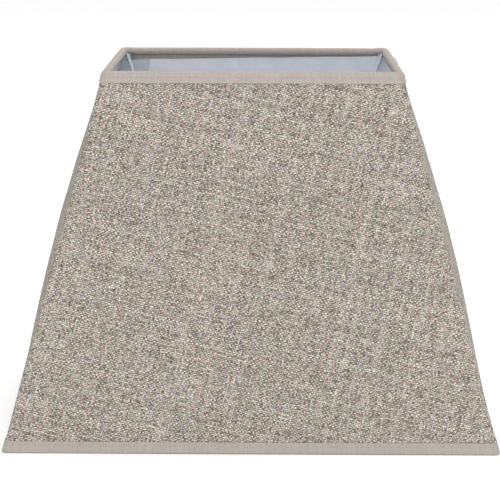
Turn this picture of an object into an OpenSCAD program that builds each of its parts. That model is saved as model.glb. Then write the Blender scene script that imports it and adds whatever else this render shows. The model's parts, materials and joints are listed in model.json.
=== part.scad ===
// Square hard-back lamp shade: a tapered linen wrap on a plastic backing,
// bound with tape over two wire rings, with a dropped wire spider at the top.
// Origin: middle of the base, on the plane that the bottom edge stands on.

/* [Overall] */
// Width of the square base over the linen
bottom_w = 330; // [270:1:400]
// Width of the square top over the linen
top_w = 202; // [165:1:245]
// Height over both rims
height = 248; // [200:1:300]

/* [Panels] */
// Radius of the four folded corners
fold_r = 3; // [2.4:0.1:6]
// How far each panel bows outward at half height
panel_bow = 9; // [0:0.5:14]
// Thickness of the linen
fabric_t = 0.6; // [0.4:0.1:1]
// Thickness of the plastic backing bonded to the linen
backing_t = 0.4; // [0.3:0.1:0.8]
// Width of the glued lap inside the back left corner
lap_w = 21; // [10:1:30]
// Glue line between the lap and the panel it is stuck to
lap_glue = 0.15; // [0.1:0.05:0.3]

/* [Rims] */
// Diameter of the ring wires
ring_d = 3; // [2.4:0.1:4]
// Radius of the bends in the ring wires, to the middle of the wire
ring_bend_r = 5; // [4:0.1:8]
// Thickness of the folded binding tape
tape_t = 0.6; // [0.4:0.1:0.9]
// Height of tape seen outside each rim
tape_leg = 7.8; // [6.5:0.1:12]
// Length of the tape's inner leg past the middle of the wire
tape_tail = 2.4; // [1:0.1:4]
// Clearance round a ring wire
wire_gap = 0.25; // [0.2:0.05:0.4]
// Glue line between the tape and the linen
tape_glue = 0.05; // [0.05:0.05:0.2]
// Radius of the fold at each side of the bottom land
land_r = 1.2; // [0.8:0.1:1.5]

/* [Spider] */
// Diameter of the arm wires
arm_d = 2.7; // [2:0.1:3.5]
// Lean of the upper arm from upright
arm_lean = 28; // [15:1:40]
// Inner radius of the bend in each arm
arm_bend_r = 7; // [4:0.5:10]
// Depth of the washer below the top rim
spider_drop = 26; // [20:1:45]
// Outer diameter of the centre washer
washer_d = 32; // [26:1:45]
// Thickness of the centre washer
washer_t = 1.6; // [1.2:0.1:2.5]
// Diameter of the hole that the harp stud comes through
hole_d = 11.1; // [8:0.1:13.4]
// Distance from the axis at which the arms end
arm_stop = 9; // [8.5:0.5:12]
// Depth of each weld
weld = 0.15; // [0.05:0.05:0.3]

/* [Hidden] */

sides = 4;
quarter = 360 / sides;
fold_steps = 6;
panel_stops = [-0.95, -0.75, -0.5, -0.25, 0, 0.25, 0.5, 0.75, 0.95];
levels = 12;
arch_steps = 6;
land_steps = 3;
round_fn = 48;

// Walls lean inward by slope, so a distance square to the wall is
// lean_scale times as long when it is measured level.
slope = (bottom_w - top_w) / 2 / height;
lean_scale = sqrt(1 + slope * slope);
cloth = fabric_t * lean_scale;
wall = (fabric_t + backing_t) * lean_scale;
ring_r = ring_d / 2;

// Level distances from the linen's face, outward positive.
ring_out = -wall - (wire_gap + ring_r) * lean_scale;
leg_out = (tape_glue + tape_t / 2) * lean_scale;
tail_out = -wall - (2 * wire_gap + ring_d + tape_t / 2) * lean_scale;

// The tape's arch over the top wire, the two wires' heights, the ends of the
// sheet just past the wires, and the lap's ends, which are clear of the tapes.
arch_r = (leg_out - tail_out) / 2;
arch_out = (leg_out + tail_out) / 2;
top_ring_z = height - tape_t / 2 - arch_r;
bottom_ring_z = tape_t + wire_gap + ring_r;
sheet_past = 0.6;
sheet_low = tape_t + land_r;
sheet_high = top_ring_z + sheet_past;
lap_trim = 2;
lap_clear = tape_leg + lap_trim;
corner_tail = 0.2;

// The straight lengths of wire end this far inside the bends, which are a
// hair thicker.
wire_sink = 0.3;
bend_extra = 0.03;
cut_past = 1;

washer_z = height - spider_drop - washer_t;
arm_r = arm_d / 2;
arm_z = washer_z - arm_r + weld;
bend_mid = arm_bend_r + arm_r;

// ---- The outline of the shade at any height ----

function half_w(z) = bottom_w / 2 - slope * z;
function straight_half(z) = half_w(z) - fold_r;
function bow(z) = panel_bow * sin(180 * z / height);

// Behind the wall the tapes leave its outline to follow the straight wires and
// their wider bends. The share follow is 0 at the wall and 1 at the wires.
bend_growth = ring_bend_r - ring_out - fold_r;
function follow(out) = min(1, max(0, (out + wall) / (ring_out + wall)));

// A bowed panel meets its folds at the angle lean_in, edge_y from the middle.
function lean_in(b, z) = atan(2 * b / straight_half(z));
function edge_y(a, z) = straight_half(z) + fold_r * (cos(a) - sin(a));

// A stop is [side, share of the half panel, share of the fold, inset].
// Side 0 faces front and the sides run anticlockwise seen from above.
function stop_flat(stop, z, out, b, growth) =
    let (c = straight_half(z), share = stop[1] - stop[3] / c, turn = atan(2 * b * share / c))
    [share * (c - growth) + out * sin(turn),
     edge_y(lean_in(b, z), z) + b * (1 - share * share) + out * cos(turn)];
function stop_fold(stop, z, out, b, growth) =
    let (a = lean_in(b, z), turn = a + (quarter - 2 * a) * stop[2], r = fold_r + out + growth)
    [straight_half(z) - growth - fold_r * sin(a) + r * sin(turn),
     edge_y(a, z) - growth - fold_r * cos(a) + r * cos(turn)];
function at(stop, z, out, share = 0) =
    let (b = bow(z) * (1 - share), growth = bend_growth * share, turn = quarter * stop[0])
    let (p = stop[2] > 0 ? stop_fold(stop, z, out, b, growth) : stop_flat(stop, z, out, b, growth))
    [p[0] * cos(turn) + p[1] * sin(turn), p[0] * sin(turn) - p[1] * cos(turn), z];

function panel_of(side) = [for (u = panel_stops) [side, u, 0, 0]];
function fold_of(side) =
    [for (i = [0:fold_steps]) [side, 1, i / fold_steps, 0]];
function all_round() = [for (k = [0:sides - 1]) each concat(panel_of(k), fold_of(k))];

// ---- Closed skins from a row of matching sections ----

// Both halves of a section cut their squares on the same diagonal, so that
// two sheets that share a face share its triangles.
function square_faces(a, b, c, d, rising) =
    rising ? [[a, b, c], [a, c, d]] : [[a, b, d], [b, c, d]];
function side_faces(rows, n, closed) = [
    for (j = [0:rows - (closed ? 1 : 2)], i = [0:n - 1])
        let (k = (j + 1) % rows, m = (i + 1) % n)
        each square_faces(j * n + i, j * n + m, k * n + m, k * n + i, 2 * i < n - 1)
];
function end_faces(first, n, flip) = [
    for (i = [0:n / 2 - 2])
        let (a = first + i, b = first + n - 1 - i)
        each flip ? [[a, a + 1, b - 1], [a, b - 1, b]] : [[a, b, b - 1], [a, b - 1, a + 1]]
];

module skin(sections, closed) {
    rows = len(sections);
    n = len(sections[0]);
    ends = closed ? [] : concat(end_faces(0, n, false), end_faces((rows - 1) * n, n, true));
    polyhedron([for (s = sections) each s], concat(side_faces(rows, n, closed), ends));
}

// ---- The wrap: one laminate, folded at three corners and lapped at the fourth ----

back = 2;
left = 3;
lap_step = -(wall + lap_glue * lean_scale);
lap_turn = 0.5;

// Each entry is [stop, shift inward]. The lap starts behind the back panel
// and comes out to the face over the first half of the back left fold.
function lap_stops() = concat(
    [for (inset = [lap_w, lap_w / 2, 0]) [[back, 1, 0, inset], lap_step]],
    [for (s = fold_of(back)) if (s[2] > 0) [s, lap_step * max(0, 1 - s[2] / lap_turn)]]
);
function rest_stops() = [
    for (k = [left, 0, 1, back])
        each [for (s = k == back ? panel_of(k) : concat(panel_of(k), fold_of(k))) [s, 0]]
];
function wrap_stops() = concat(lap_stops(), rest_stops(), [[[back, 1, 0, 0], 0]]);

// The first and last levels lie under the tapes, and the rest are even.
function between(low, high, share) = low + (high - low) * share;
function level(i, trimmed) =
    trimmed ? between(lap_clear, height - lap_clear, i / (levels - 1))
    : i == 0 ? sheet_low
    : i == levels - 1 ? sheet_high
    : between(tape_leg, height - tape_leg, (i - 1) / (levels - 3));
function sheet_section(entry, outer, inner) =
    let (shift = entry[1], trimmed = shift < 0)
    concat(
        [for (i = [0:levels - 1]) at(entry[0], level(i, trimmed), shift + outer)],
        [for (i = [levels - 1:-1:0]) at(entry[0], level(i, trimmed), shift + inner)]
    );

module wrap_sheet(outer, inner) {
    skin([for (entry = wrap_stops()) sheet_section(entry, outer, inner)], false);
}

module linen_cover() {
    color("#a9a196") wrap_sheet(0, -cloth);
}

module plastic_backing() {
    color("#dfe2e6") wrap_sheet(-cloth, -wall);
}

// ---- The binding tapes ----

function unit(v) = v / norm(v);
function right_of(a, b) = let (v = unit(b - a)) [v[1], -v[0]];
function mitre(path, i) =
    let (last = len(path) - 1)
    let (n1 = right_of(path[max(i - 1, 0)], path[max(i, 1)]))
    let (n2 = right_of(path[min(i, last - 1)], path[min(i + 1, last)]))
    (n1 + n2) / (1 + n1 * n2);
function thicken(path, t) = concat(
    [for (i = [0:len(path) - 1]) path[i] + mitre(path, i) * t / 2],
    [for (i = [len(path) - 1:-1:0]) path[i] - mitre(path, i) * t / 2]
);

// Keeps a point upright under or over the wire, where the wall leans away.
function upright(out, z, ring_z) = [out + slope * (z - ring_z), z];

// The arms come through at the corners, so the inner leg stops short there.
function at_panel(stop) = stop[2] == 0 && abs(stop[1]) < 1;
function top_path(stop) = concat(
    [[leg_out, height - tape_leg]],
    [for (i = [0:arch_steps])
        let (a = 180 * i / arch_steps)
        upright(arch_out + arch_r * cos(a), top_ring_z + arch_r * sin(a), top_ring_z)],
    [upright(tail_out, top_ring_z - (at_panel(stop) ? tape_tail : corner_tail), top_ring_z)]
);
function land_bend(out, from) = [
    for (i = [0:land_steps])
        let (a = from + quarter * i / land_steps)
        [out + land_r * cos(a), tape_t / 2 + land_r * (1 + sin(a))]
];
function bottom_path() = concat(
    [upright(tail_out, bottom_ring_z + tape_tail, bottom_ring_z)],
    [for (p = land_bend(tail_out + land_r, 180)) upright(p[0], p[1], bottom_ring_z)],
    land_bend(leg_out - land_r, 270),
    [[leg_out, tape_leg]]
);

function tape_section(stop, path) =
    [for (p = thicken(path, tape_t)) at(stop, p[1], p[0], follow(p[0]))];

module top_tape() {
    color("#c0b8b1") skin([for (s = all_round()) tape_section(s, top_path(s))], true);
}

module bottom_tape() {
    color("#bdb4ab") skin([for (s = all_round()) tape_section(s, bottom_path())], true);
}

// ---- The wire rings ----

function ring_straight(z) = half_w(z) + ring_out - ring_bend_r;

module wire_ring(z) {
    c = ring_straight(z);
    bend = ring_bend_r;
    translate([0, 0, z])
        for (k = [0:sides - 1])
            rotate([0, 0, quarter * k]) {
                translate([-c - wire_sink, -c - bend, 0])
                    rotate([0, 90, 0])
                        cylinder(h = 2 * (c + wire_sink), r = ring_r, $fn = round_fn);
                translate([c, -c, 0])
                    rotate([0, 0, -90])
                        rotate_extrude(angle = quarter, $fn = round_fn)
                            translate([bend, 0])
                                circle(r = ring_r + bend_extra, $fn = round_fn);
            }
}

module top_ring() {
    color("#b9c2cb") wire_ring(top_ring_z);
}

module bottom_ring() {
    color("#b9c2cb") wire_ring(bottom_ring_z);
}

// ---- The spider ----

// In each arm's own upright plane: reach is the distance from the axis.
corner_reach = sqrt(2) * ring_straight(top_ring_z) + ring_bend_r;
arm_top = [corner_reach, top_ring_z] - (ring_r - weld) * [sin(arm_lean), cos(arm_lean)];
bend_start_z = arm_z + bend_mid * (1 - sin(arm_lean));
bend_start_reach = arm_top[0] - (arm_top[1] - bend_start_z) * tan(arm_lean);
bend_end_reach = bend_start_reach - bend_mid * cos(arm_lean);
leg_length = (arm_top[1] - bend_start_z) / cos(arm_lean);

module spider_arm(turn) {
    color("#aeb9c4")
        rotate([0, 0, turn]) {
            translate([arm_top[0], 0, arm_top[1]])
                rotate([0, 180 + arm_lean, 0])
                    cylinder(h = leg_length + wire_sink, r = arm_r, $fn = round_fn);
            translate([bend_end_reach, 0, arm_z + bend_mid])
                rotate([90, 0, 0])
                    rotate([0, 0, -90])
                        rotate_extrude(angle = 90 - arm_lean, $fn = round_fn)
                            translate([bend_mid, 0])
                                circle(r = arm_r + bend_extra, $fn = round_fn);
            translate([arm_stop, 0, arm_z])
                rotate([0, 90, 0])
                    cylinder(h = bend_end_reach + wire_sink - arm_stop, r = arm_r, $fn = round_fn);
        }
}

module spider_washer() {
    color("#aeb9c4")
        translate([0, 0, washer_z])
            difference() {
                cylinder(h = washer_t, d = washer_d, $fn = 96);
                translate([0, 0, -cut_past])
                    cylinder(h = washer_t + 2 * cut_past, d = hole_d, $fn = 96);
            }
}

linen_cover();
plastic_backing();
top_tape();
bottom_tape();
top_ring();
bottom_ring();
spider_washer();
spider_arm(-45);  // spider_arm_front_right
spider_arm(45);  // spider_arm_back_right
spider_arm(135);  // spider_arm_back_left
spider_arm(225);  // spider_arm_front_left
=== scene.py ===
"""Square hard-back lamp shade: linen on a plastic backing, bound with tape over two wire rings.

The frame holds every size and place. Each operator makes one piece, or one group of like pieces,
around it, and main() runs them in the order in which such a shade is put together.
"""

import json
import math

import bmesh
import bpy
from bpy.props import FloatProperty, FloatVectorProperty, PointerProperty
from mathutils import Matrix, Vector, noise


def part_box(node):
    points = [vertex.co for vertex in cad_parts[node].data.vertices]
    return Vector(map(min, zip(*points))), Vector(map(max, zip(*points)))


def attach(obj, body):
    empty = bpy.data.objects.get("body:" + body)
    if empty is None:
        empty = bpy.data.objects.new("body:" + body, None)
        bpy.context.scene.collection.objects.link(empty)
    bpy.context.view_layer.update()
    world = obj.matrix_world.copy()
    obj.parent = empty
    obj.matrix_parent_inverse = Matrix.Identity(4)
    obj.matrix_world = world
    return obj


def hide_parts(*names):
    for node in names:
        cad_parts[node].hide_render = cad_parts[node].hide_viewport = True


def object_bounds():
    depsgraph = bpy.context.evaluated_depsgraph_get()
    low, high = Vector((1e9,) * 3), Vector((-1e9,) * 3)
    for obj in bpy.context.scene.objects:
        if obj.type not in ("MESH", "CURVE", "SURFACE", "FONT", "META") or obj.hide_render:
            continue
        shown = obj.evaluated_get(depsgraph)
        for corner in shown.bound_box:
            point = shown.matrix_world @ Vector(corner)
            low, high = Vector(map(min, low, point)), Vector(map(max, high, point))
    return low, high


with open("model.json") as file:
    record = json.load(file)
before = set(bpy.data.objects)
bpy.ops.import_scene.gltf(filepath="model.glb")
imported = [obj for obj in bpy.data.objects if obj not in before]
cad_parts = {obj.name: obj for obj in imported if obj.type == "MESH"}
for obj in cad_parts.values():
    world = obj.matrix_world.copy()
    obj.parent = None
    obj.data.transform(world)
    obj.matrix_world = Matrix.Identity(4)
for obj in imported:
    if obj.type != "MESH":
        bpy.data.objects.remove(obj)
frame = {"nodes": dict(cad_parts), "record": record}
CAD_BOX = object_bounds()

bl_info = {
    "name": "Square Linen Lamp Shade",
    "version": (1, 0, 0),
    "blender": (4, 5, 0),
    "location": "3D View > Sidebar > Lamp Shade",
    "description": "Makes the wrap, tapes, wires and stage of a square hard-back lamp shade",
    "category": "Object",
}

ROOT = "root"
RINGS = ("top_ring", "bottom_ring")
ARMS = tuple(sorted(name for name in frame["nodes"] if name.startswith("spider_arm")))


# ---- Places that come from the frame ----


def middle_z(node):
    """Height of the middle of a node."""
    low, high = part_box(node)
    return (low.z + high.z) / 2


HEIGHT = CAD_BOX[1].z
TOP_WIRE_Z = middle_z("top_ring")
BOTTOM_WIRE_Z = middle_z("bottom_ring")
WIRE_R = (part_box("top_ring")[1].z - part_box("top_ring")[0].z) / 2
LINEN_LOW, LINEN_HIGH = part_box("linen_cover")
TAPE_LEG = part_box("bottom_tape")[1].z

# The walls lean inward by SLOPE, so a distance square to a wall is LEAN times as long on the level.
SLOPE = (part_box("bottom_ring")[1].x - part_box("top_ring")[1].x) / (TOP_WIRE_Z - BOTTOM_WIRE_Z)
LEAN = math.hypot(1, SLOPE)

FRONT, RIGHT, BACK, LEFT = range(4)
QUARTER = math.pi / 2
PANEL_SHARE = 0.8  # the part of a side's count that is its flat panel; the rest is its fold


# ---- Sizes and colours that a maker would change ----


def length(name, description, default):
    """A length property in metres."""
    return FloatProperty(
        name=name, description=description, default=default, min=0, unit="LENGTH", precision=4
    )


def angle(name, description, degrees):
    """An angle property, its default in degrees."""
    return FloatProperty(
        name=name, description=description, default=math.radians(degrees), subtype="ANGLE"
    )


def colour(name, description, default):
    """A colour property."""
    return FloatVectorProperty(
        name=name, description=description, default=default, size=3, min=0, max=1, subtype="COLOR"
    )


class WrapSettings(bpy.types.PropertyGroup):
    """The laminate that is folded into the four walls."""

    fold_radius: length("Fold radius", "Radius of the folded corners", 0.003)
    panel_bow: length("Panel bow", "How far each panel bows outward at half height", 0.009)
    linen_thick: length("Linen thickness", "Thickness of the linen", 0.0006)
    backing_thick: length("Backing thickness", "Thickness of the plastic backing", 0.0004)
    lap_width: length("Lap width", "Width of the glued lap beside the back left corner", 0.021)
    glue_line: length("Glue line", "Gap that the glue fills between lap and panel", 0.00015)
    ripple: length("Ripple", "Unevenness of the stretched panels", 0.00035)
    thread_pitch: length("Thread pitch", "Distance from thread to thread in the linen", 0.00130)
    pale_thread: colour("Pale thread", "Lightest thread of the linen", (0.555, 0.507, 0.446))
    dark_thread: colour("Dark thread", "Darkest thread of the linen", (0.113, 0.095, 0.076))
    # Painted shade: the near-black colour painted where the weave is low, beside and between the threads
    gap_colour: colour("Gap", "What shows between the threads", (0.055, 0.045, 0.033))
    backing_colour: colour("Backing", "Satin face of the plastic backing", (0.69, 0.73, 0.79))


class TapeSettings(bpy.types.PropertyGroup):
    """The woven tape that binds both rims."""

    thick: length("Thickness", "Thickness of the tape", 0.0006)
    glue_line: length("Glue line", "Gap that the glue fills under the tape", 0.00005)
    wire_gap: length("Wire gap", "Clearance round a ring wire", 0.00025)
    tail: length("Inner leg", "Length of the bottom tape inside, past the middle of the wire", 0.0024)
    tuck: length("Tucked leg", "Longest length of the top tape glued to the lining", 0.0046)
    land_radius: length("Land radius", "Radius of the folds beside the bottom land", 0.0012)
    overlap: length("Joint", "Length by which a tape laps over its own start", 0.012)
    wrinkle: length("Wrinkle", "Height of the puckers at the corners", 0.0005)
    thread_pitch: length("Thread pitch", "Distance from thread to thread in the tape", 0.00052)
    pale_thread: colour("Pale thread", "Lightest thread of the tape", (0.378, 0.342, 0.312))
    # Also the colour of the painted shade between the tape's threads
    dark_thread: colour("Dark thread", "Darkest thread of the tape", (0.281, 0.248, 0.224))


class MetalSettings(bpy.types.PropertyGroup):
    """The wires and the washer."""

    ring_bend: length("Ring bend", "Radius of the bends in the ring wires", 0.005)
    edge_round: length("Edge", "Rounding of the washer's pressed edges", 0.0003)
    wire_colour: colour("Wire", "Satin coat of the wires", (0.50, 0.56, 0.62))
    washer_colour: colour("Washer", "Plating of the washer", (0.40, 0.42, 0.43))


class StageSettings(bpy.types.PropertyGroup):
    """Floor, light and camera."""

    lens: FloatProperty(name="Lens", description="Focal length", default=161.2, unit="CAMERA")
    camera_place: FloatVectorProperty(
        name="Camera", description="Place of the camera", default=(0.0091, -1.6036, 0.3835), unit="LENGTH"
    )
    tilt: angle("Tilt", "Downward tilt of the camera", 9.71)
    yaw: angle("Yaw", "Turn of the camera to the right", -0.40)
    roll: angle("Roll", "Roll of the camera", 0.18)
    floor_size: length("Floor", "Side of the square floor", 24.0)
    floor_colour: colour("Floor colour", "Pale floor", (0.93, 0.93, 0.93))
    sky: FloatProperty(name="Sky", description="Strength of the even light all round", default=1.04, min=0)
    key: FloatProperty(name="Key", description="Power of the soft light in front", default=19.0, unit="POWER")
    top: FloatProperty(name="Top", description="Power of the soft light overhead", default=32.0, unit="POWER")


# ---- The outline of the shade at any height ----


def smooth_step(low, high, value):
    """0 below low, 1 above high, and an even rise between them."""
    share = min(1.0, max(0.0, (value - low) / (high - low)))
    return share * share * (3 - 2 * share)


def mix(a, b, share):
    """The value that is a share of the way from a to b."""
    return a + (b - a) * share


class Outline:
    """Level outline of the shade: four bowed panels and four folds, each side counted as one.

    A count of 0 starts the front panel at its left end, and counts rise anticlockwise seen from
    above: the panel takes PANEL_SHARE of its side's count and the fold after it takes the rest.
    """

    def __init__(self, wrap, ring_bend):
        self.wrap = wrap
        self.base_half = LINEN_HIGH.x + SLOPE * LINEN_LOW.z - self.bow(LINEN_LOW.z)
        self.linen = wrap.linen_thick * LEAN
        self.wall = (wrap.linen_thick + wrap.backing_thick) * LEAN
        self.wire_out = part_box("top_ring")[1].x - WIRE_R - self.half_width(TOP_WIRE_Z)
        self.bend_growth = ring_bend - self.wire_out - wrap.fold_radius

    def bow(self, z):
        """How far a panel bows outward at that height."""
        return self.wrap.panel_bow * math.sin(math.pi * z / HEIGHT)

    def half_width(self, z):
        return self.base_half - SLOPE * z

    def straight_half(self, z):
        return self.half_width(z) - self.wrap.fold_radius

    def follow(self, out):
        """How far a tape has left the wall for the straight wires: 0 at the wall, 1 at the wires."""
        return min(1.0, max(0.0, (out + self.wall) / (self.wire_out + self.wall)))

    def point(self, count, z, out, inset=0.0, follow=0.0):
        """A point at that count and height, that far outside the linen's face on the level."""
        side, rest = divmod(count, 1)
        straight, radius = self.straight_half(z), self.wrap.fold_radius
        bow, growth = self.bow(z) * (1 - follow), self.bend_growth * follow
        lean = math.atan(2 * bow / straight)  # the angle at which a bowed panel meets its folds
        edge = straight + radius * (math.cos(lean) - math.sin(lean))
        fold_share = (rest - PANEL_SHARE) / (1 - PANEL_SHARE)
        if fold_share > 0:
            turn, reach = lean + (QUARTER - 2 * lean) * fold_share, radius + out + growth
            x = straight - growth - radius * math.sin(lean) + reach * math.sin(turn)
            y = edge - growth - radius * math.cos(lean) + reach * math.cos(turn)
        else:
            share = 2 * rest / PANEL_SHARE - 1 - inset / straight
            turn = math.atan(2 * bow * share / straight)
            x = share * (straight - growth) + out * math.sin(turn)
            y = edge + bow * (1 - share * share) + out * math.cos(turn)
        return Matrix.Rotation(side * QUARTER, 3, "Z") @ Vector((x, -y, z))

    def flat_place(self, count, z, inset=0.0):
        """Where that point lies on the uncut laminate, a fan that unrolls round its own centre.

        The fold between the left and the front panel is the fan's upright line, as the threads are.
        """
        side, rest = divmod(count, 1)
        half, straight = self.half_width(z), self.straight_half(z)
        bow = self.bow(z)
        panel = straight + 2 / 3 * bow**2 / straight
        fold = self.wrap.fold_radius * (QUARTER - 4 * bow / straight)
        fold_share = max(0.0, (rest - PANEL_SHARE) / (1 - PANEL_SHARE))
        across = min(1.0, 2 * rest / PANEL_SHARE - 1) * panel - inset + fold * fold_share
        if fold_share > 0.5:
            side += 1
            across = -panel - fold * (1 - fold_share)
        across *= half / (panel + fold / 2)
        middle = (2 * (side - START_SIDE) - 3) * math.atan(SLOPE / LEAN)
        distance = half * LEAN / SLOPE
        return Vector(
            (
                distance * math.sin(middle) + across * math.cos(middle),
                across * math.sin(middle) - distance * math.cos(middle),
            )
        )


# ---- Grids that are folded into cloth pieces ----


def folded_grid(name, columns, rows, place, flat_place, thick, offset, edge_round):
    """A sheet made from a flat grid: place folds each vertex, and flat_place keeps its threads.

    Both take the share of the way along and the share of the way up.
    """
    bm = bmesh.new()
    bmesh.ops.create_grid(bm, x_segments=columns, y_segments=rows, size=0.5)
    shares = {vert: (vert.co.x + 0.5, vert.co.y + 0.5) for vert in bm.verts}
    threads = bm.loops.layers.uv.new("threads")
    for face in bm.faces:
        face.smooth = True
        for loop in face.loops:
            loop[threads].uv = flat_place(*shares[loop.vert])
    for vert, share in shares.items():
        vert.co = place(*share)
    mesh = bpy.data.meshes.new(name)
    bm.to_mesh(mesh)
    bm.free()
    piece = bpy.data.objects.new(name, mesh)
    bpy.context.scene.collection.objects.link(piece)
    wall = piece.modifiers.new("Thickness", "SOLIDIFY")
    wall.thickness, wall.offset = thick, offset
    edge = piece.modifiers.new("Soft edge", "BEVEL")
    edge.width, edge.segments, edge.limit_method = edge_round, 2, "ANGLE"
    edge.angle_limit = math.radians(50)
    return piece


# The wrap starts as the lap behind the back panel and ends where the back panel does.
START_SIDE = BACK
COLUMNS_A_SIDE = 60
LAP_COUNT = 0.1
WRAP_START = START_SIDE + PANEL_SHARE - LAP_COUNT
WRAP_COUNT = 4 + LAP_COUNT
WRAP_ROWS = 64
WRAP_EDGE = 0.0001  # rounding of the laminate's cut edges
BOND = 0.00002  # drawn gap between the linen and its backing
FLAT_SAMPLES = 80  # points along the fan when its flat size is worked out
LAP_CLEAR = TAPE_LEG + 0.002
RIPPLE_REACH = 0.03  # the ripple dies away this far from a rim
RIPPLE_SCALE = 22  # ripples to the metre


class Wrap:
    """One layer of the laminate, on its way round from the lap to the raw edge."""

    def __init__(self, outline, depth):
        self.outline = outline
        self.depth = depth
        self.step = -(outline.wall + outline.wrap.glue_line * LEAN)

    def stop(self, along, up):
        """Count, height, step inward and inset from the corner."""
        count = WRAP_START + WRAP_COUNT * along
        corner = START_SIDE + PANEL_SHARE
        past = count - corner
        behind = 1 - smooth_step(0, (1 - PANEL_SHARE) / 2, past)
        inset = self.outline.wrap.lap_width * max(0.0, -past) / LAP_COUNT
        low = mix(LINEN_LOW.z, LAP_CLEAR, behind)
        high = mix(LINEN_HIGH.z, HEIGHT - LAP_CLEAR, behind)
        return max(count, corner), mix(low, high, up), behind, inset

    def place(self, along, up):
        count, z, behind, inset = self.stop(along, up)
        near_rim = min(z - TAPE_LEG, HEIGHT - TAPE_LEG - z)
        fade = smooth_step(0, RIPPLE_REACH, near_rim)
        point = self.outline.point(count, z, 0, inset)
        ripple = self.outline.wrap.ripple * fade * noise.fractal(point * RIPPLE_SCALE, 1.0, 2.0, 2)
        return self.outline.point(count, z, self.step * behind - self.depth + ripple, inset)

    def flat_place(self, along, up):
        count, z, _, inset = self.stop(along, up)
        return self.outline.flat_place(count, z, inset)

    def flat_size(self):
        """Width, length and area of the smallest rectangle and the fan that is cut from it."""
        samples = [k / FLAT_SAMPLES for k in range(FLAT_SAMPLES + 1)]
        corners = [self.flat_place(along, up) for along in samples for up in (0, 1)]
        lows = [min(c[k] for c in corners) for k in (0, 1)]
        highs = [max(c[k] for c in corners) for k in (0, 1)]
        slant = (LINEN_HIGH.z - LINEN_LOW.z) * LEAN
        middle = self.outline.half_width((LINEN_HIGH.z + LINEN_LOW.z) / 2)
        area = slant * (8 * middle + self.outline.wrap.lap_width)
        return (highs[0] - lows[0], highs[1] - lows[1]), area


# ---- The binding tapes ----

TAPE_COLUMNS_A_SIDE = 90
LEG_ROWS, ARCH_ROWS, TUCK_ROWS, LAND_ROWS, BEND_ROWS = 5, 12, 8, 3, 4
ARM_CLEAR, ARM_EASE = 0.0028, 0.007  # the tape is cut back round an arm, and is whole again past this
TAPE_EDGE = 0.00015  # rounding of the tape's selvedge
BUNCH_REACH = 0.011  # how far the puckers reach from a fold
SLOW_SCALE, QUICK_SCALE = 55, 330  # slow waves of the tape and quick puckers, to the metre
SLOW_SHARE, BUNCH_SHARE = 0.28, 1.3  # their heights as shares of the wrinkle
LAP_LIFT = 1.04  # how many thicknesses the strip's end stands above its start
CUT_TURN, TUCK_TURN = 0.03, 0.36  # turn of the tape under the wire, at an arm and elsewhere, in turns of pi
TUCK_DROP = 0.0005  # from the underside of the wire to where the tucked leg meets the lining
SHORTEST_TUCK = 0.06  # shortest tucked leg, as a share of the longest
TOP_JOINT, BOTTOM_JOINT = RIGHT + 0.43, BACK + 0.3  # where each strip starts


def arc(centre, radius, start, end, rows):
    """Points along an arc, its angles in turns of pi."""
    angles = [math.pi * mix(start, end, k / rows) for k in range(rows + 1)]
    return [(centre[0] + radius * math.cos(a), centre[1] + radius * math.sin(a)) for a in angles]


def line(start, end, rows):
    """Points along a straight line, without its last one."""
    return [(mix(start[0], end[0], k / rows), mix(start[1], end[1], k / rows)) for k in range(rows)]


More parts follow.
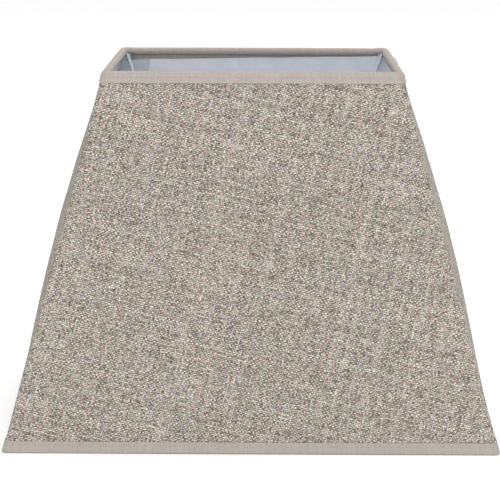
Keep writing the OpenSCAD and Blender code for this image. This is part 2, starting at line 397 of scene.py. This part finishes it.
class Tape:
    """A strip folded over a wire all the way round, with its end lapped over its start."""

    def __init__(self, outline, tape, wire_z, joint, seed):
        self.outline, self.tape, self.wire_z, self.joint, self.seed = outline, tape, wire_z, joint, seed
        wire = 2 * WIRE_R
        self.leg_out = (tape.glue_line + tape.thick / 2) * LEAN
        self.tail_out = -outline.wall - (2 * tape.wire_gap + wire + tape.thick / 2) * LEAN
        self.lining_out = -outline.wall - (tape.glue_line + tape.thick / 2) * LEAN
        self.side_length = 2 * outline.straight_half(wire_z)
        self.lap_count = tape.overlap / self.side_length * PANEL_SHARE

    def upright(self, points):
        """Points that stay upright over the wire, where the wall leans away."""
        return [(out + SLOPE * (z - self.wire_z), z) for out, z in points]

    def count(self, along):
        return self.joint + (4 + self.lap_count) * along

    def from_fold(self, count):
        """Distance along the tape from the middle of the nearest fold."""
        middle = PANEL_SHARE + (1 - PANEL_SHARE) / 2
        gap = abs((count - middle + 0.5) % 1 - 0.5)
        fold = self.outline.wrap.fold_radius * QUARTER
        half_fold = (1 - PANEL_SHARE) / 2
        if gap < half_fold:
            return gap / half_fold * fold / 2
        return fold / 2 + (gap - half_fold) / PANEL_SHARE * self.side_length

    def lift(self, along):
        """How many thicknesses the strip's end stands on its own start."""
        left = (1 - along) * (4 + self.lap_count)
        return LAP_LIFT * (1 - smooth_step(self.lap_count, self.lap_count * 4, left))

    def pucker(self, along, row, rows):
        """Small unevenness square to the tape, most of it where the fold bunches the roll."""
        count, up = self.count(along), row / rows
        bunch = math.exp(-((self.from_fold(count) / BUNCH_REACH) ** 2))
        roll = math.sin(math.pi * up)
        spot = self.outline.point(count, self.wire_z, 0) + Vector((0, 0, self.seed + 0.05 * up))
        slow = noise.noise(spot * SLOW_SCALE)
        quick = noise.noise(Vector((spot.x * QUICK_SCALE, spot.y * QUICK_SCALE, up * 1.5 + self.seed)))
        return self.tape.wrinkle * (SLOW_SHARE * slow + bunch * roll * quick * BUNCH_SHARE)

    def place(self, along, up):
        points = self.path(along)
        last = len(points) - 1
        row = round(up * last)
        before, after = points[max(row - 1, 0)], points[min(row + 1, last)]
        run, rise = after[0] - before[0], after[1] - before[1]
        step = math.hypot(run, rise)
        push = self.lift(along) * self.tape.thick + self.pucker(along, row, last)
        out = points[row][0] + rise / step * push
        z = points[row][1] - run / step * push
        return self.outline.point(self.count(along), self.keep(z), out, follow=self.outline.follow(out))

    def keep(self, z):
        return z

    def flat_place(self, along, up):
        points = self.path(0.5)
        last = len(points) - 1
        width = [math.dist(points[k], points[k + 1]) for k in range(last)]
        perimeter = 4 * (self.side_length + self.outline.wrap.fold_radius * QUARTER)
        return Vector((along * perimeter, sum(width[: round(up * last)])))

    def flat_size(self):
        """Width of the strip where it is whole, and its length."""
        far = self.flat_place(1, 1)
        return (far.y, far.x * (1 + self.lap_count / 4))

    def make(self, name, thick):
        rows = len(self.path(0)) - 1
        columns = round(TAPE_COLUMNS_A_SIDE * (4 + self.lap_count))
        return folded_grid(name, columns, rows, self.place, self.flat_place, thick, 0, TAPE_EDGE)


class TopTape(Tape):
    """Outer leg, roll over the wire, and an uneven leg tucked under it to the lining."""

    def tuck_length(self, count):
        """The tucked leg is longest at the back left and runs out toward the back right."""
        side, rest = divmod(count % 4, 1)
        share = min(1.0, rest / PANEL_SHARE)
        wave = 0.5 + noise.noise(Vector((count * 2.3, self.seed, 0)))
        if side == BACK:
            wave = share ** 0.8 + 0.12 * noise.noise(Vector((count * 14, self.seed, 2)))
        return self.tape.tuck * min(1.0, max(SHORTEST_TUCK, wave))

    def path(self, along):
        count = self.count(along)
        whole = smooth_step(ARM_CLEAR, ARM_EASE, self.from_fold(count))
        arch_out, radius = (self.leg_out + self.tail_out) / 2, (self.leg_out - self.tail_out) / 2
        leg = line((self.leg_out, HEIGHT - TAPE_LEG), (self.leg_out, self.wire_z), LEG_ROWS)
        arch = arc((arch_out, self.wire_z), radius, 0, 1, ARCH_ROWS)
        wrap_r = abs(self.tail_out - self.outline.wire_out)
        wire = (self.outline.wire_out, self.wire_z)
        under = arc(wire, wrap_r, 1, 1 + mix(CUT_TURN, TUCK_TURN, whole), TUCK_ROWS // 2)[1:]
        glued_z = self.wire_z - wrap_r - TUCK_DROP
        rest = self.tuck_length(count) * whole
        end = (mix(under[-1][0], self.lining_out, whole), mix(under[-1][1] - 0.0002, glued_z, whole))
        tail = line(end, (end[0], end[1] - rest - 0.0001), TUCK_ROWS // 2)
        return leg + self.upright(arch + under) + [
            (out + SLOPE * (z - self.wire_z) * (1 - whole), z) for out, z in tail
        ]


class BottomTape(Tape):
    """Inner leg, fold, flat land that the shade stands on, fold and outer leg."""

    def path(self, along):
        flat_z, radius = self.tape.thick / 2, self.tape.land_radius
        uneven = noise.noise(Vector((self.count(along) * 5, 7, 0)))
        tail_z = self.wire_z + self.tape.tail * (0.75 + 0.5 * uneven)
        tail = line((self.tail_out, tail_z), (self.tail_out, flat_z + radius), LEG_ROWS)
        inner = arc((self.tail_out + radius, flat_z + radius), radius, 1, 1.5, BEND_ROWS)
        outer = arc((self.leg_out - radius, flat_z + radius), radius, 1.5, 2, BEND_ROWS)
        land = line(inner[-1], outer[0], LAND_ROWS)[1:]
        leg = line(outer[-1], (self.leg_out, TAPE_LEG), LEG_ROWS)[1:] + [(self.leg_out, TAPE_LEG)]
        return self.upright(tail + inner) + land + outer + leg

    def keep(self, z):
        """The land stays on the plane that the shade stands on."""
        return max(z, self.tape.thick / 2)


# ---- Materials ----


class Socket:
    """A shader socket: arithmetic on it adds Math nodes to its finish."""

    def __init__(self, finish, socket):
        self.finish, self.socket = finish, socket

    def part(self, name):
        """Another output of the same node."""
        return Socket(self.finish, self.socket.node.outputs[name])

    def math(self, operation, *others):
        return self.finish.node("Math", {"operation": operation}, dict(enumerate((self, *others))))

    def flipped(self, operation, other):
        return self.finish.node("Math", {"operation": operation}, {0: other, 1: self})

    def __add__(self, other):
        return self.math("ADD", other)

    def __sub__(self, other):
        return self.math("SUBTRACT", other)

    def __rsub__(self, other):
        return self.flipped("SUBTRACT", other)

    def __mul__(self, other):
        return self.math("MULTIPLY", other)

    def __truediv__(self, other):
        return self.math("DIVIDE", other)

    def __gt__(self, other):
        return self.math("GREATER_THAN", other)

    def __lt__(self, other):
        return self.math("LESS_THAN", other)

    __radd__ = __add__
    __rmul__ = __mul__


class Finish:
    """One material, made of nodes that are added one at a time."""

    def __init__(self, name):
        self.material = bpy.data.materials.new(name)
        self.material.use_nodes = True
        self.tree = self.material.node_tree
        self.tree.nodes.clear()

    def node(self, kind, settings=(), values=(), out=0):
        """Adds a node: its settings first, then the values or links of its sockets."""
        made = self.tree.nodes.new("ShaderNode" + kind)
        for key, value in dict(settings).items():
            if key == "stops":
                self.set_stops(made.color_ramp, value)
            else:
                setattr(made, key, value)
        for key, value in dict(values).items():
            if isinstance(value, Socket):
                self.tree.links.new(value.socket, made.inputs[key])
            else:
                made.inputs[key].default_value = value
        return Socket(self, made.outputs[out]) if len(made.outputs) else None

    def set_stops(self, ramp, stops):
        while len(ramp.elements) < len(stops):
            ramp.elements.new(0.5)
        for element, (position, value) in zip(ramp.elements, stops):
            element.position, element.color = position, value

    def mix(self, share, a, b, blend="MIX"):
        """Mixes two colours. Colour sockets of the Mix node are found by their place."""
        return self.node(
            "Mix", {"data_type": "RGBA", "blend_type": blend}, {0: share, 6: solid(a), 7: solid(b)}, out=2
        )

    def noise(self, vector, scale, detail=2.0, dimensions="3D", out="Fac"):
        return self.node(
            "TexNoise",
            {"noise_dimensions": dimensions},
            {"Vector": vector, "Scale": scale, "Detail": detail},
            out=out,
        )

    def surface(self, height=None, bump=0.0, **values):
        """The surface shader and its output, with bump in metres of height."""
        named = {key.replace("_", " ").title().replace("Ior", "IOR"): value for key, value in values.items()}
        if height is not None:
            named["Normal"] = self.node("Bump", {}, {"Strength": 1.0, "Distance": bump, "Height": height})
        shader = self.node("BsdfPrincipled", {}, named)
        self.node("OutputMaterial", {}, {"Surface": shader})
        return self.material


def solid(value):
    """A colour as four numbers, or a socket as it is."""
    return value if isinstance(value, Socket) else (*value, 1.0)


THREAD_HALF = 0.41  # half a thread's width, as a share of the pitch
THREAD_ROUND, THREAD_RISE = 0.45, 0.45  # a thread's round top and its wave over and under, as heights
DRIFT_SCALE = 0.17  # how tightly the threads wander, against the pitch


class Weave:
    """Plain weave on the piece's own thread coordinates: each thread goes over one and under one."""

    def __init__(self, finish, pitch, wander, slub):
        self.finish = finish
        place = finish.node("UVMap", {"uv_map": "threads"})
        split = finish.node("SeparateXYZ", {}, {"Vector": place}, out="X")
        self.u, self.v = split, split.part("Y")
        drift = finish.noise(place, DRIFT_SCALE / pitch, 2.0, "2D", out="Color")
        pull = finish.node("SeparateXYZ", {}, {"Vector": drift}, out="X")
        across = self.u / pitch + (pull - 0.5) * wander
        along = self.v / pitch + (pull.part("Y") - 0.5) * wander
        self.warp = self.thread(across, along, pitch, slub, 0.0, 1)
        self.weft = self.thread(along, across, pitch, slub, 5.3, -1)
        self.warp_up = self.warp["height"] > self.weft["height"]
        self.height = self.warp["height"].math("MAXIMUM", self.weft["height"])

    def thread(self, across, along, pitch, slub, seed, over):
        """One set of threads: its height, and the shade of each thread along its length."""
        finish = self.finish
        number = across.math("FLOOR")
        off_middle = across - number - 0.5
        spot = finish.node("CombineXYZ", {}, {"X": number * 3.17 + seed, "Y": along * 0.16})
        uneven = finish.noise(spot, 1.0, 2.0, "2D")
        half = THREAD_HALF + (uneven - 0.5) * slub
        round_top = 1 - (off_middle / half).math("POWER", 2.0)
        rise = (math.pi * (along - 0.5 + number)).math("COSINE") * over
        height = (round_top > 0) * (THREAD_ROUND * round_top + THREAD_RISE * rise + 2 * THREAD_RISE)
        own = finish.node("TexWhiteNoise", {"noise_dimensions": "1D"}, {"W": number + seed})
        knot = finish.node("CombineXYZ", {}, {"X": number * 1.71 + seed, "Y": along * 0.9})
        mottle = finish.noise(knot, 1.0, 1.0, "2D")
        return {"height": height, "own": own, "uneven": uneven, "mottle": mottle}

    def shade(self, own, uneven, mottle, step=0.0):
        """Pale to dark along the upper thread, as shares of its three kinds of change.

        The weft is paler than the warp by the step.
        """
        tone = []
        for thread, middle in ((self.warp, 0.5 - step / 2), (self.weft, 0.5 + step / 2)):
            change = (thread["own"] - 0.5) * own + (thread["uneven"] - 0.5) * uneven
            tone.append(middle + change + (thread["mottle"] - 0.5) * mottle)
        mixed = self.warp_up * tone[0] + (1 - self.warp_up) * tone[1]
        return mixed.math("MINIMUM", 1.0).math("MAXIMUM", 0.0)


def linen_finish(wrap):
    """Coarse slubby plain weave of natural and bleached threads, with painted shade where the threads dip and
    between them.
    """
    finish = Finish("linen")
    weave = Weave(finish, wrap.thread_pitch, 2.1, 0.34)
    tone = weave.shade(0.35, 0.55, 1.8, 0.30)
    place = finish.node("UVMap", {"uv_map": "threads"})
    tint = finish.noise(place, 260.0, 2.0, "2D", out="Color")
    thread = finish.mix(tone, wrap.dark_thread, wrap.pale_thread)
    tinted = finish.mix(0.16, thread, tint, "OVERLAY")
    # Painted shade: the linen darkens toward the crevice colour where the weave is low, at thread edges and
    # between threads
    depth = ((weave.height - 0.75) / 0.85).math("MINIMUM", 1.0).math("MAXIMUM", 0.0)
    painted_crevice_shade = (1 - depth).math("POWER", 1.15)
    colour_out = finish.mix(painted_crevice_shade, tinted, wrap.gap_colour)
    return finish.surface(
        weave.height, 0.00022, base_color=colour_out, roughness=0.92, specular_ior_level=0.15
    )


def tape_finish(tape):
    """Close plain weave, nearly even in colour, with painted shade between the threads."""
    finish = Finish("tape")
    weave = Weave(finish, tape.thread_pitch, 0.9, 0.18)
    tone = weave.shade(0.7, 0.9, 0.5)
    place = finish.node("UVMap", {"uv_map": "threads"})
    cloud = finish.noise(place, 70.0, 3.0, "2D")
    thread = finish.mix(tone, tape.dark_thread, tape.pale_thread)
    worn = finish.mix((cloud - 0.45) * 0.5, thread, tape.pale_thread)
    # Painted shade: the tape darkens toward its dark thread colour where the weave is low, between the
    # threads
    depth = (weave.height / 1.3).math("MINIMUM", 1.0)
    colour_out = finish.mix((1 - depth) * 0.45, worn, tape.dark_thread)
    return finish.surface(
        weave.height, 0.00007, base_color=colour_out, roughness=0.9, specular_ior_level=0.2
    )


def backing_finish(wrap):
    """Satin plastic film with a faint mottle, and painted shade on the lap, where the double thickness lets
    less light through from outside.
    """
    finish = Finish("backing")
    place = finish.node("UVMap", {"uv_map": "threads"})
    split = finish.node("SeparateXYZ", {}, {"Vector": place}, out="X")
    fan_turn = split.math("ARCTAN2", split.part("Y") * -1.0)
    # Painted shade: the lap is greyed because it lets less light through from outside than the single film
    lap_shade_mask = fan_turn < -2 * math.atan(SLOPE / LEAN)
    cloud = finish.noise(place, 90.0, 3.0, "2D")
    fibre = finish.noise(place, 900.0, 3.0, "2D")
    pale = finish.mix((cloud - 0.36) * 1.3 + (fibre - 0.5) * 0.9, wrap.backing_colour, (0.84, 0.82, 0.85))
    colour_out = finish.mix(lap_shade_mask * 0.5, pale, (0.34, 0.40, 0.44))
    return finish.surface(
        fibre, 0.00003, base_color=colour_out, roughness=0.42 + (cloud - 0.5) * 0.2
    )


def wire_finish(metal):
    """Satin coat on drawn wire, with fine draw lines, thin spots and dust."""
    finish = Finish("wire")
    place = finish.node("TexCoord", {}, {}, out="Object")
    grain = finish.noise(place, 2600.0, 2.0)
    cloud = finish.noise(place, 160.0, 3.0)
    worn = (cloud - 0.58).math("MAXIMUM", 0.0) * 3.0
    colour_out = finish.mix(worn, metal.wire_colour, (0.36, 0.39, 0.42))
    return finish.surface(
        grain, 0.00002, base_color=colour_out, metallic=0.35, roughness=0.34 + (cloud - 0.5) * 0.3
    )


def washer_finish(metal):
    """Zinc plate with faint stamping marks."""
    finish = Finish("plated_steel")
    place = finish.node("TexCoord", {}, {}, out="Object")
    cloud = finish.noise(place, 240.0, 4.0)
    drawn_out = finish.node("VectorMath", {"operation": "MULTIPLY"}, {0: place, 1: (300, 4000, 300)})
    scratch = finish.noise(drawn_out, 1.0)
    colour_out = finish.mix((cloud - 0.4) * 0.6, metal.washer_colour, (0.42, 0.43, 0.44))
    return finish.surface(
        scratch, 0.00001, base_color=colour_out, metallic=0.9, roughness=0.42 + (cloud - 0.5) * 0.35
    )


# ---- Operators ----

WASHER_STEPS = 96
WORLD_WHITE = (1, 1, 1, 1)
KEY_PLACE, KEY_SIZE = (-0.2, -2.1, 0.4), 1.0
OVERHEAD_PLACE, OVERHEAD_SIZE = (0.65, 0.55, 2.1), 2.0
SENSOR_WIDTH = 36.0  # millimetres, as the lens

def settle(piece, material, slot, *nodes):
    """Gives a finished piece its material and stands it in for its nodes."""
    piece.data.materials.append(material)
    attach(piece, ROOT)
    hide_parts(*nodes)


class LAMPSHADE_OT_linen(bpy.types.Operator):
    """Folds the linen round the shade, its raw edge at the back left corner"""

    bl_idname = "lampshade.linen"
    bl_label = "Linen Wrap"

    def execute(self, context):
        wrap = context.scene.lampshade_wrap
        layer = Wrap(Outline(wrap, context.scene.lampshade_metal.ring_bend), 0)
        columns = round(COLUMNS_A_SIDE * WRAP_COUNT)
        piece = folded_grid(
            "linen_wrap", columns, WRAP_ROWS, layer.place, layer.flat_place, wrap.linen_thick, -1, WRAP_EDGE
        )
        settle(piece, linen_finish(wrap), "linen", "linen_cover")
        flat, area = layer.flat_size()
        return {"FINISHED"}


class LAMPSHADE_OT_backing(bpy.types.Operator):
    """Lines the linen with its plastic backing"""

    bl_idname = "lampshade.backing"
    bl_label = "Plastic Backing"

    def execute(self, context):
        wrap = context.scene.lampshade_wrap
        outline = Outline(wrap, context.scene.lampshade_metal.ring_bend)
        layer = Wrap(outline, outline.linen + BOND)
        columns = round(COLUMNS_A_SIDE * WRAP_COUNT)
        piece = folded_grid(
            "lining", columns, WRAP_ROWS, layer.place, layer.flat_place, wrap.backing_thick, -1, WRAP_EDGE
        )
        settle(piece, backing_finish(wrap), "backing", "plastic_backing")
        flat, area = layer.flat_size()
        return {"FINISHED"}


class LAMPSHADE_OT_tapes(bpy.types.Operator):
    """Binds both rims with tape folded over the ring wires"""

    bl_idname = "lampshade.tapes"
    bl_label = "Binding Tapes"

    def execute(self, context):
        scene = context.scene
        outline, tape = Outline(scene.lampshade_wrap, scene.lampshade_metal.ring_bend), scene.lampshade_tape
        material = tape_finish(tape)
        top = TopTape(outline, tape, TOP_WIRE_Z, TOP_JOINT, 1.7)
        bottom = BottomTape(outline, tape, BOTTOM_WIRE_Z, BOTTOM_JOINT, 4.1)
        for strip, name, node, ring in (
            (top, "top_binding", "top_tape", "top_ring"),
            (bottom, "bottom_binding", "bottom_tape", "bottom_ring"),
        ):
            piece = strip.make(name, tape.thick)
            settle(piece, material, "tape", node)
            strip.flat_size()
        return {"FINISHED"}


class LAMPSHADE_OT_wires(bpy.types.Operator):
    """Coats the rings and the spider's arms"""

    bl_idname = "lampshade.wires"
    bl_label = "Wires"

    def execute(self, context):
        material = wire_finish(context.scene.lampshade_metal)
        for name in (*RINGS, *ARMS):
            node = frame["nodes"][name]
            node.data.materials.clear()
            node.data.materials.append(material)
        return {"FINISHED"}


class LAMPSHADE_OT_washer(bpy.types.Operator):
    """Spins the spider's centre washer, with its pressed edges rounded"""

    bl_idname = "lampshade.washer"
    bl_label = "Centre Washer"

    def execute(self, context):
        metal = context.scene.lampshade_metal
        low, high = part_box("spider_washer")
        mount = next(m for m in frame["record"]["mounts"] if m["name"] == "washer_hole")
        hole = mount["dims"]["r_mm"] / 1000
        bm = bmesh.new()
        section = ((hole, low.z), (high.x, low.z), (high.x, high.z), (hole, high.z))
        corners = [bm.verts.new((x, 0, z)) for x, z in section]
        edges = [bm.edges.new((corners[k], corners[(k + 1) % 4])) for k in range(4)]
        bmesh.ops.spin(
            bm,
            geom=corners + edges,
            axis=(0, 0, 1),
            cent=(0, 0, 0),
            angle=2 * math.pi,
            steps=WASHER_STEPS,
            use_merge=True,
        )
        bmesh.ops.recalc_face_normals(bm, faces=bm.faces)
        rims = [e for e in bm.edges if len(e.link_faces) == 2 and e.calc_face_angle() > 1]
        bmesh.ops.bevel(
            bm, geom=rims, offset=metal.edge_round, segments=3, profile=0.5, affect="EDGES", material=-1
        )
        for face in bm.faces:
            face.smooth = True
        mesh = bpy.data.meshes.new("centre_washer")
        bm.to_mesh(mesh)
        bm.free()
        piece = bpy.data.objects.new("centre_washer", mesh)
        context.scene.collection.objects.link(piece)
        settle(piece, washer_finish(metal), "plated_steel", "spider_washer")
        return {"FINISHED"}


class LAMPSHADE_OT_stage(bpy.types.Operator):
    """Lays the floor, lights it and aims the camera"""

    bl_idname = "lampshade.stage"
    bl_label = "Stage"

    def execute(self, context):
        stage, scene = context.scene.lampshade_stage, context.scene
        bm = bmesh.new()
        bmesh.ops.create_grid(bm, x_segments=1, y_segments=1, size=stage.floor_size / 2)
        mesh = bpy.data.meshes.new("floor")
        bm.to_mesh(mesh)
        bm.free()
        floor = bpy.data.objects.new("floor", mesh)
        scene.collection.objects.link(floor)
        paint = Finish("floor")
        mesh.materials.append(paint.surface(base_color=solid(stage.floor_colour), roughness=0.9))
        self.light_sky(scene, stage)
        self.soft_light("key", KEY_PLACE, KEY_SIZE, stage.key)
        self.soft_light("overhead", OVERHEAD_PLACE, OVERHEAD_SIZE, stage.top)
        self.aim_camera(scene, stage)
        scene.view_settings.view_transform = "Standard"
        return {"FINISHED"}

    def light_sky(self, scene, stage):
        world = bpy.data.worlds.new("sky")
        world.use_nodes = True
        light = world.node_tree.nodes["Background"].inputs
        light["Color"].default_value = WORLD_WHITE
        light["Strength"].default_value = stage.sky
        scene.world = world

    def soft_light(self, name, place, size, power):
        data = bpy.data.lights.new(name, "AREA")
        data.size, data.energy = size, power
        lamp = bpy.data.objects.new(name, data)
        lamp.location = place
        aim = Vector((0, 0, HEIGHT / 2)) - Vector(place)
        lamp.rotation_euler = aim.to_track_quat("-Z", "Y").to_euler()
        bpy.context.scene.collection.objects.link(lamp)

    def aim_camera(self, scene, stage):
        data = bpy.data.cameras.new("camera")
        data.lens, data.sensor_width = stage.lens, SENSOR_WIDTH
        camera = bpy.data.objects.new("camera", data)
        level = math.cos(stage.tilt)
        look = Vector((math.sin(stage.yaw) * level, math.cos(stage.yaw) * level, -math.sin(stage.tilt)))
        turn = look.to_track_quat("-Z", "Y").to_matrix() @ Matrix.Rotation(stage.roll, 3, "Z")
        camera.matrix_world = Matrix.Translation(stage.camera_place) @ turn.to_4x4()
        scene.collection.objects.link(camera)
        scene.camera = camera


class LAMPSHADE_PT_panel(bpy.types.Panel):
    """Lists the shade's pieces in the order in which they are made"""

    bl_idname = "LAMPSHADE_PT_panel"
    bl_label = "Lamp Shade"
    bl_space_type = "VIEW_3D"
    bl_region_type = "UI"
    bl_category = "Lamp Shade"

    def draw(self, context):
        for operator in OPERATORS:
            self.layout.operator(operator.bl_idname)
        for name in SETTINGS:
            box = self.layout.box()
            group = getattr(context.scene, name)
            for key in group.bl_rna.properties.keys():
                if key not in ("name", "rna_type"):
                    box.prop(group, key)


OPERATORS = (
    LAMPSHADE_OT_stage,
    LAMPSHADE_OT_linen,
    LAMPSHADE_OT_backing,
    LAMPSHADE_OT_tapes,
    LAMPSHADE_OT_wires,
    LAMPSHADE_OT_washer,
)
SETTINGS = {
    "lampshade_wrap": WrapSettings,
    "lampshade_tape": TapeSettings,
    "lampshade_metal": MetalSettings,
    "lampshade_stage": StageSettings,
}


def register():
    for group in (*SETTINGS.values(), *OPERATORS, LAMPSHADE_PT_panel):
        bpy.utils.register_class(group)
    for name, group in SETTINGS.items():
        setattr(bpy.types.Scene, name, PointerProperty(type=group))


def unregister():
    for name in SETTINGS:
        delattr(bpy.types.Scene, name)
    for group in reversed((*SETTINGS.values(), *OPERATORS, LAMPSHADE_PT_panel)):
        bpy.utils.unregister_class(group)


def main():
    """Makes every piece in order."""
    register()
    bpy.ops.lampshade.stage()
    bpy.ops.lampshade.linen()
    bpy.ops.lampshade.backing()
    bpy.ops.lampshade.tapes()
    bpy.ops.lampshade.wires()
    bpy.ops.lampshade.washer()


if __name__ == "__main__":
    main()
